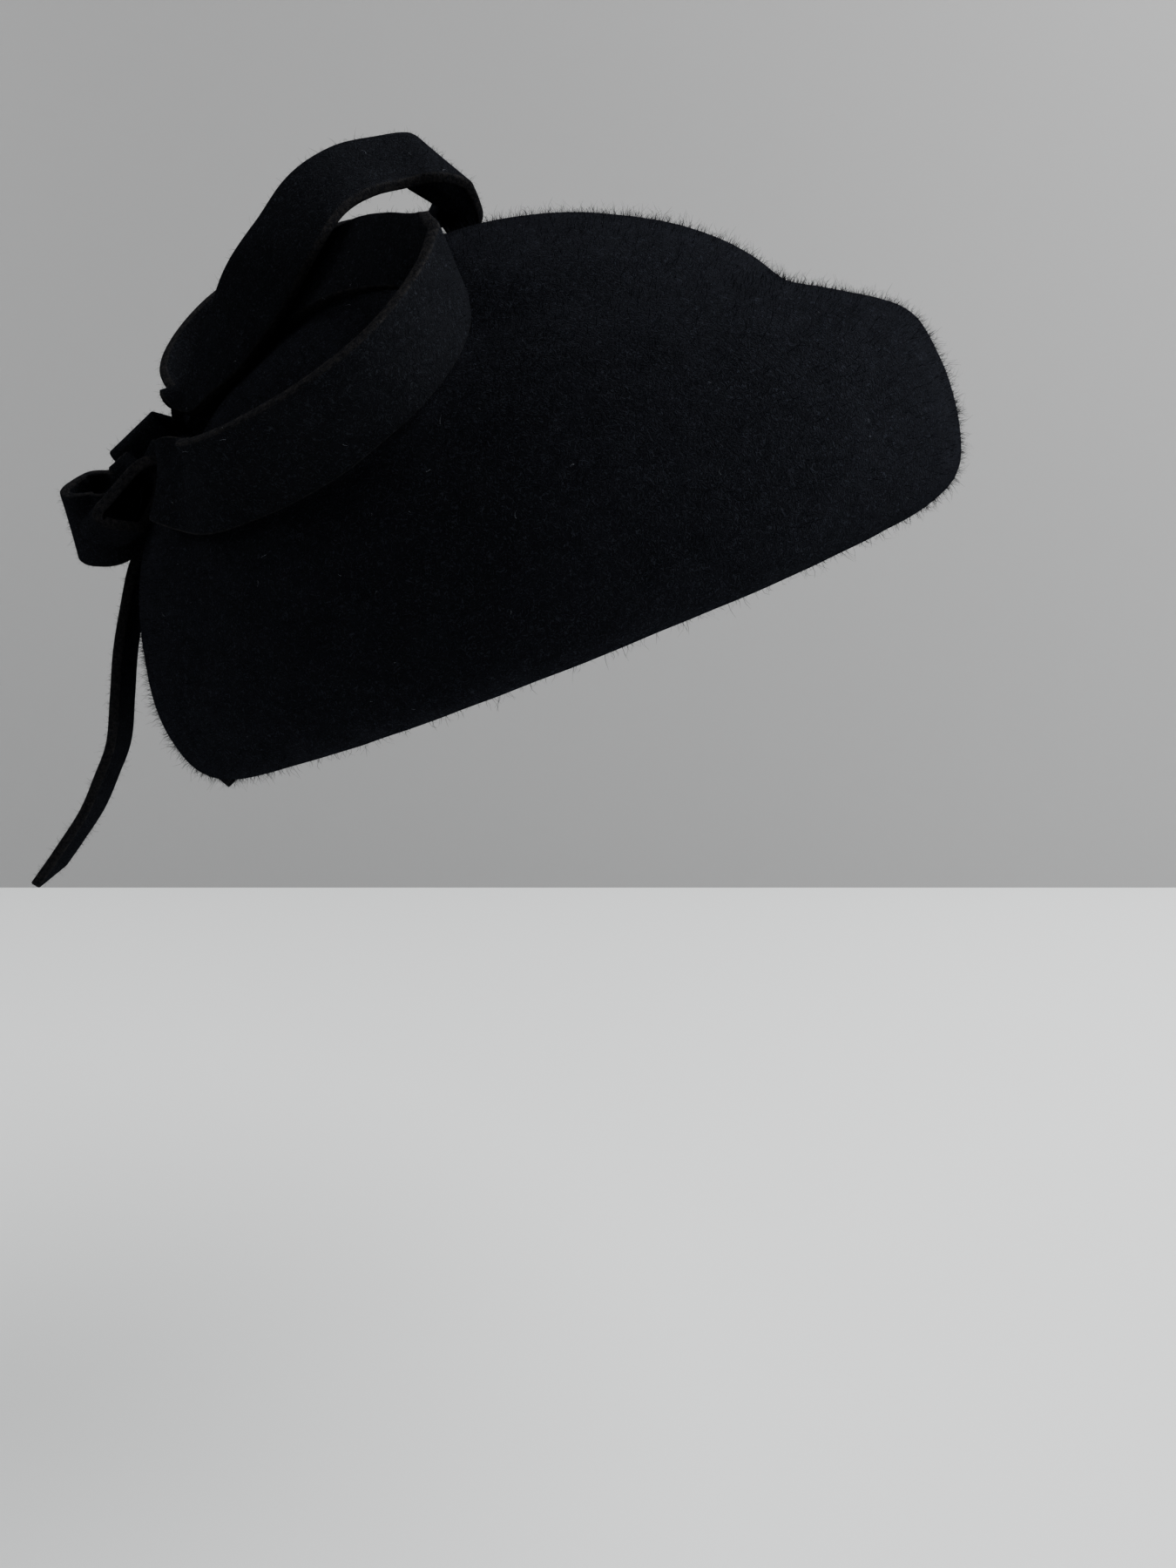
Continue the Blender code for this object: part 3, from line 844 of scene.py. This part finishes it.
@dataclass
class StrapPiece:
    """One length of the bow's felt strap, cut with square edges that soften with wear."""

    name: str
    node: str
    stations: tuple[Station, ...]
    width: float
    ends: Ends
    felt: bpy.types.Material
    seed: float
    steps_per_station: int = 9
    edge_radius: float = 0.55 * MM
    width_drift: float = 0.012
    drift_spacing: float = 11.0 * MM
    cut_reach: float = 0.6

    def path(self) -> tuple[Grid, Grid, Grid]:
        """Reads the strap's stations smoothly.

        Returns:
            The strap's middles, its leans and its width shares.
        """
        half = np.array([0.5 * BODY_LENGTH, 0.5 * BODY_WIDTH, CROWN_HEIGHT, 1.0, 1.0, 1.0, 1.0])
        known = np.array(self.stations) * half
        is_ring = self.ends is Ends.JOINED
        count = len(known) if is_ring else len(known) - 1
        share = np.linspace(0.0, count, count * self.steps_per_station + 1)
        if is_ring:
            share = share[:-1]
        read = between(known, share, is_ring)
        return read[:, :3], read[:, 3:6], read[:, 6]

    def build(self) -> bpy.types.Object:
        """Carries the strap's cut section along its path.

        Returns:
            The strap, with its two narrow sides marked as cut edges.
        """
        middle, lean, share = self.path()
        is_ring = self.ends is Ends.JOINED
        ahead = unit(ring_steps(middle) if is_ring else np.gradient(middle, axis=0))
        across = unit(lean - ahead * (lean * ahead).sum(axis=1, keepdims=True))
        through = np.cross(ahead, across)
        section = rounded_oblong(self.width, STRAP_FELT, self.edge_radius, per_corner=4, per_side=9)
        drift = unevenness(middle, self.drift_spacing, self.seed)
        rows = []
        for index in range(len(middle)):
            wide = section[:, 0] * (share[index] + self.width_drift * drift[index])
            rows.append(middle[index] + across[index] * wide[:, None] + through[index] * section[:, 1:2])
        rows = np.array(rows + rows[:1] if is_ring else rows)
        # The narrow sides are marked here, and the felt paints a highlight along them
        cut_from = 0.5 * self.width - self.cut_reach * self.edge_radius
        cut = (np.abs(section[:, 0]) > cut_from).astype(float)
        return add_piece(self.name, drawn_sleeve(worn(rows), self.ends, cut), self.felt, self.node)


@dataclass
class Knot:
    """The middle of the bow: the strap gathered in pleats, with a short band of strap wrapped round it."""

    felt: bpy.types.Material
    band_edge: float = 0.5 * MM
    gather_edge: float = 1.2 * MM
    gather_rings: int = 25
    end_sharpness: int = 6
    pleat_spacing: float = 1.25 * MM
    pleat_depth: float = 0.16
    end_narrowing: float = 0.05
    end_flattening: float = 0.08

    def placed(self, points: Grid) -> Grid:
        """Moves points from the knot's own frame to the worn hat's.

        Args:
            points: positions about the knot's middle, with x across the band.

        Returns:
            The same array of positions, in the frame of the hat as it is worn.
        """
        turn = np.array(Matrix.Rotation(-KNOT_PITCH, 3, "Y"))
        centre = np.array([0.5 * BODY_LENGTH * KNOT_ALONG, 0.0, CROWN_HEIGHT * KNOT_UP])
        return worn(points @ turn.T + centre)

    def build_band(self) -> bpy.types.Object:
        """Wraps the band round the gathers, with its cut section carried round a rounded oblong.

        Returns:
            The band, as a closed ring.
        """
        path = rounded_oblong(
            KNOT_ACROSS - KNOT_FELT,
            KNOT_DEPTH - KNOT_FELT,
            KNOT_CORNER - 0.5 * KNOT_FELT,
            per_corner=9,
            per_side=10,
        )
        ahead = unit(ring_steps(path))
        away = np.stack([ahead[:, 1], -ahead[:, 0]], axis=1)
        section = rounded_oblong(KNOT_BAND_WIDTH, KNOT_FELT, self.band_edge, per_corner=4, per_side=7)
        rows = []
        for spot, out in zip(path, away):
            ring = np.zeros((len(section), 3))
            ring[:, 0] = section[:, 0]
            ring[:, 1:] = spot + out * section[:, 1:2]
            rows.append(ring)
        shape = drawn_sleeve(self.placed(np.array(rows + rows[:1])), Ends.JOINED)
        return add_piece("knot_wrapped_band", shape, self.felt, "knot_band")

    def build_gathers(self) -> bpy.types.Object:
        """Packs the strap's pleats inside the band, a little proud of it at both ends.

        Returns:
            The gathers, whose pleats deepen towards both ends.
        """
        spare = 2.0 * (KNOT_FELT + KNOT_GAP)
        section = rounded_oblong(
            KNOT_ACROSS - spare, KNOT_DEPTH - spare, self.gather_edge, per_corner=5, per_side=24,
        )
        fold = 0.5 + 0.5 * np.cos(section[:, 0] / self.pleat_spacing)
        half = 0.5 * KNOT_BAND_WIDTH + CORE_PROUD
        rows = []
        for along in np.linspace(-half, half, self.gather_rings):
            near_end = (abs(along) / half) ** self.end_sharpness
            pleat = 1.0 - self.pleat_depth * near_end * fold
            ring = np.zeros((len(section), 3))
            ring[:, 0] = along
            ring[:, 1] = section[:, 0] * (1.0 - self.end_narrowing * near_end)
            ring[:, 2] = section[:, 1] * pleat * (1.0 - self.end_flattening * near_end)
            rows.append(ring)
        shape = drawn_sleeve(self.placed(np.array(rows)), Ends.CUT)
        return add_piece("knot_gathers", shape, self.felt, "knot_core")


class FibreKind(NamedTuple):
    """One kind of loose fibre on a felt surface.

    A real fibre is about 0.03 mm thick. These are wider, so that they show, and there are fewer of them.
    """

    per_square_mm: float
    length: float
    width: float
    lift: float
    curl: float
    bends: int


@dataclass
class Nap:
    """Loose wool fibres over pieces of felt: the fuzz that softens their outline."""

    name: str
    on: list[bpy.types.Object]
    kind: FibreKind
    finish: bpy.types.Material
    seed: int
    inside_share: float = 1.0
    shape_seed_step: int = 1000
    length_spread: float = 0.45
    length_limits: tuple[float, float] = (0.3, 2.4)
    lift_limits: tuple[float, float] = (0.3, 1.5)
    settle_share: float = 0.25
    tip_taper: float = 0.75

    def roots(self) -> tuple[Grid, Grid]:
        """Scatters the fibres' roots evenly over the felt, with fewer on faces that look inwards.

        Returns:
            The roots' positions and the felt's outward direction at each.
        """
        chance = np.random.default_rng(self.seed)
        spots, outs = [], []
        for piece in self.on:
            mesh = piece.data
            mesh.calc_loop_triangles()
            corners = np.empty(len(mesh.loop_triangles) * 3, np.int32)
            mesh.loop_triangles.foreach_get("vertices", corners)
            points = np.empty(len(mesh.vertices) * 3, np.float32)
            mesh.vertices.foreach_get("co", points)
            points = points.reshape(-1, 3)
            first, second, third = points[corners.reshape(-1, 3)].transpose(1, 0, 2)
            cross = np.cross(second - first, third - first)
            is_inside = (cross * (first - points.mean(axis=0))).sum(axis=1) < 0.0
            area = np.where(is_inside, self.inside_share, 1.0) * 0.5 * np.linalg.norm(cross, axis=1)
            count = int(area.sum() / MM**2 * self.kind.per_square_mm)
            chosen = chance.choice(len(area), size=count, p=area / area.sum())
            one, two = chance.random((2, count, 1))
            folded = one + two > 1.0
            one, two = np.where(folded, 1.0 - one, one), np.where(folded, 1.0 - two, two)
            spots.append(first[chosen] + (second - first)[chosen] * one + (third - first)[chosen] * two)
            outs.append(unit(cross[chosen]))
        return np.concatenate(spots), np.concatenate(outs)

    def build(self) -> bpy.types.Object:
        """Grows every fibre as a thin curling blade, and joins them as one mesh.

        Returns:
            The fibres, as one piece that stands for no solid.
        """
        chance = np.random.default_rng(self.seed + self.shape_seed_step)
        spots, outs = self.roots()
        count, bends = len(spots), self.kind.bends
        side = unit(np.cross(outs, unit(chance.normal(size=(count, 3)))))
        flow = np.cross(side, outs)
        spread = chance.lognormal(0.0, self.length_spread, (count, 1))
        length = self.kind.length * np.clip(spread, *self.length_limits)
        lift = self.kind.lift * chance.uniform(*self.lift_limits, (count, 1))
        direction = unit(flow + outs * lift)
        curl = self.kind.curl * chance.normal(size=(count, 1))
        settle = chance.normal(size=(count, 1)) * self.settle_share * self.kind.curl
        here = spots.copy()
        rings = []
        for bend in range(bends + 1):
            reach = side * 0.5 * self.kind.width * (1.0 - self.tip_taper * bend / bends)
            rings.append((here - reach, here + reach))
            here = here + direction * length / bends
            direction = unit(direction + side * curl / bends + outs * settle / bends)
            side = unit(np.cross(direction, np.cross(side, direction)))
        points = np.concatenate([part for ring in rings for part in ring]).astype(np.float32)
        index = np.arange(count)
        faces = []
        for bend in range(bends):
            low, high = 2 * bend * count + index, 2 * (bend + 1) * count + index
            faces.append(np.stack([low, low + count, high + count, high], axis=1))
        mesh = bpy.data.meshes.new(self.name)
        mesh.from_pydata(points, [], np.concatenate(faces).astype(np.int32))
        mesh.materials.append(self.finish)
        made = put_in_scene(self.name, mesh)
        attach(made, "root")
        LOG.info("%s: %d fibres", self.name, count)
        return made


class SoftBox(NamedTuple):
    """One round soft light: its power in watts, its width, where it hangs and where it points."""

    name: str
    power: float
    size: float
    place: tuple[float, float, float]
    aim: tuple[float, float, float]


SOFT_BOXES = (
    SoftBox("overhead_soft_box", 35.0, 1.1, (0.75, 0.05, 0.95), (0.0, 0.0, 0.03)),
    SoftBox("front_soft_box", 10.0, 0.7, (1.15, -0.25, 0.35), (0.0, 0.0, 0.03)),
    SoftBox("left_soft_box", 6.5, 0.6, (-0.95, 0.05, 0.50), (-0.15, 0.40, 0.08)),
)


@dataclass
class Studio:
    """A pale floor, a grey wall behind and soft light from above and both ends."""

    floor_height: float = -0.229
    wall_distance: float = 0.52
    wall_rise: float = 1.9
    board_size: float = 4.0
    board_squares: int = 8
    glow_tone: str = "e6e8ec"
    glow_strength: float = 0.20

    def build_board(
        self,
        name: str,
        finish: StudioFinish,
        place: tuple[float, float, float],
        turn: float,
    ) -> None:
        """Makes one flat board of the studio.

        Args:
            name: the board's name.
            finish: how it is painted.
            place: where its middle is.
            turn: how far it is tipped up about X, in radians.
        """
        shape = bmesh.new()
        squares = self.board_squares
        bmesh.ops.create_grid(shape, x_segments=squares, y_segments=squares, size=0.5 * self.board_size)
        bmesh.ops.rotate(shape, verts=shape.verts, matrix=Matrix.Rotation(turn, 3, "X"))
        bmesh.ops.translate(shape, verts=shape.verts, vec=place)
        mesh = bpy.data.meshes.new(name)
        shape.to_mesh(mesh)
        shape.free()
        mesh.materials.append(finish.build())
        put_in_scene(name, mesh)

    def build_surfaces(self) -> None:
        """Lays the floor and stands the wall."""
        floor = StudioFinish("painted_board_floor", "d3d5d5", "d7d9d9", 0.4)
        wall = StudioFinish("painted_board_wall", "8e8e8e", "939393", 0.6)
        wall_middle = (0.0, self.wall_distance, self.floor_height + self.wall_rise)
        self.build_board("studio_floor", floor, (0.0, 0.0, self.floor_height), 0.0)
        self.build_board("studio_wall", wall, wall_middle, 0.5 * math.pi)

    def build_light(self) -> None:
        """Hangs the soft boxes and sets the room's even glow."""
        world = bpy.data.worlds.new("studio_glow")
        bpy.context.scene.world = world
        world.use_nodes = True
        glow = world.node_tree.nodes["Background"]
        glow.inputs["Color"].default_value = linear(self.glow_tone)
        glow.inputs["Strength"].default_value = self.glow_strength
        for box in SOFT_BOXES:
            light = bpy.data.lights.new(box.name, "AREA")
            light.energy = box.power
            light.shape = "DISK"
            light.size = box.size
            made = put_in_scene(box.name, light)
            made.location = box.place
            made.rotation_euler = (Vector(box.aim) - Vector(box.place)).to_track_quat("-Z", "Y").to_euler()


@dataclass
class ViewCamera:
    """The camera: close to the wearer's right side and a little above."""

    place: tuple[float, float, float] = (0.003144, -0.312334, 0.025965)
    pitch: float = math.radians(12.0)
    lens: float = 27.04
    sensor_width: float = 36.0
    nearest: float = 0.01
    farthest: float = 20.0

    def build(self) -> None:
        """Sets the scene's camera."""
        data = bpy.data.cameras.new("view_camera")
        data.lens = self.lens
        data.sensor_width = self.sensor_width
        data.clip_start = self.nearest
        data.clip_end = self.farthest
        made = put_in_scene("view_camera", data)
        made.location = self.place
        made.rotation_euler = (0.5 * math.pi - self.pitch, 0.0, 0.0)
        bpy.context.scene.camera = made


def build_bow(felt: bpy.types.Material) -> list[bpy.types.Object]:
    """Makes the bow's loops, tails and knot.

    Args:
        felt: the strap's finish.

    Returns:
        The bow's pieces.
    """
    large, small = STRAP_WIDTH, SMALL_LOOP_WIDTH
    cut, joined = Ends.CUT, Ends.JOINED
    straps = (
        StrapPiece("right_loop", "bow_loop_right", RIGHT_LOOP, large, cut, felt, seed=1.3),
        StrapPiece("upper_loop", "bow_loop_upper", UPPER_LOOP, large, joined, felt, seed=2.9),
        StrapPiece("left_loop", "bow_loop_left", LEFT_LOOP, large, joined, felt, seed=5.1),
        StrapPiece("back_small_loop", "small_loop_back", SMALL_BACK_LOOP, small, cut, felt, seed=6.4),
        StrapPiece("right_small_loop", "small_loop_right", SMALL_RIGHT_LOOP, small, joined, felt, seed=8.2),
        StrapPiece("long_tail", "tail_long", LONG_TAIL, large, cut, felt, seed=9.7),
        StrapPiece("short_tail", "tail_short", SHORT_TAIL, large, cut, felt, seed=11.2),
    )
    knot = Knot(felt)
    return [strap.build() for strap in straps] + [knot.build_band(), knot.build_gathers()]


def build_nap(body: bpy.types.Object, bow: list[bpy.types.Object]) -> None:
    """Grows the fibres on the body and the bow.

    Args:
        body: the blocked body.
        bow: the bow's pieces.
    """
    black = FibreFinish("dyed_wool_fibre", "0f1013").build()
    pale = FibreFinish("pale_wool_lint", "6c6f76").build()
    fuzz = FibreKind(per_square_mm=0.70, length=1.7 * MM, width=0.10 * MM, lift=1.5, curl=1.4, bends=2)
    strap_fuzz = FibreKind(per_square_mm=1.1, length=1.1 * MM, width=0.08 * MM, lift=1.1, curl=1.4, bends=2)
    lint = FibreKind(per_square_mm=0.003, length=0.8 * MM, width=0.05 * MM, lift=0.3, curl=2.0, bends=3)
    Nap("body_nap", [body], fuzz, black, seed=11, inside_share=0.15).build()
    Nap("bow_nap", bow, strap_fuzz, black, seed=12).build()
    Nap("stray_lint", [body, *bow], lint, pale, seed=13).build()


def main() -> None:
    """Loads the hat's solids, dresses them, and sets the studio round them."""
    logging.basicConfig(level=logging.INFO, format="%(name)s: %(message)s")
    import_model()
    tones = {"deep": "0c0d0f", "worn_tone": "16171b", "fibre_tone": "24262c"}
    strap_tones = {"deep": "0c0d0f", "worn_tone": "151619", "fibre_tone": "23252a"}
    body_felt = FeltFinish("blocked_wool_felt", **tones).build()
    strap_felt = FeltFinish("cut_strap_felt", **strap_tones, patch_mm=7.0).build()
    body = BlockedBody(body_felt).build()
    bow = build_bow(strap_felt)
    build_nap(body, bow)
    ViewCamera().build()
    studio = Studio()
    studio.build_surfaces()
    studio.build_light()


if __name__ == "__main__":
    main()
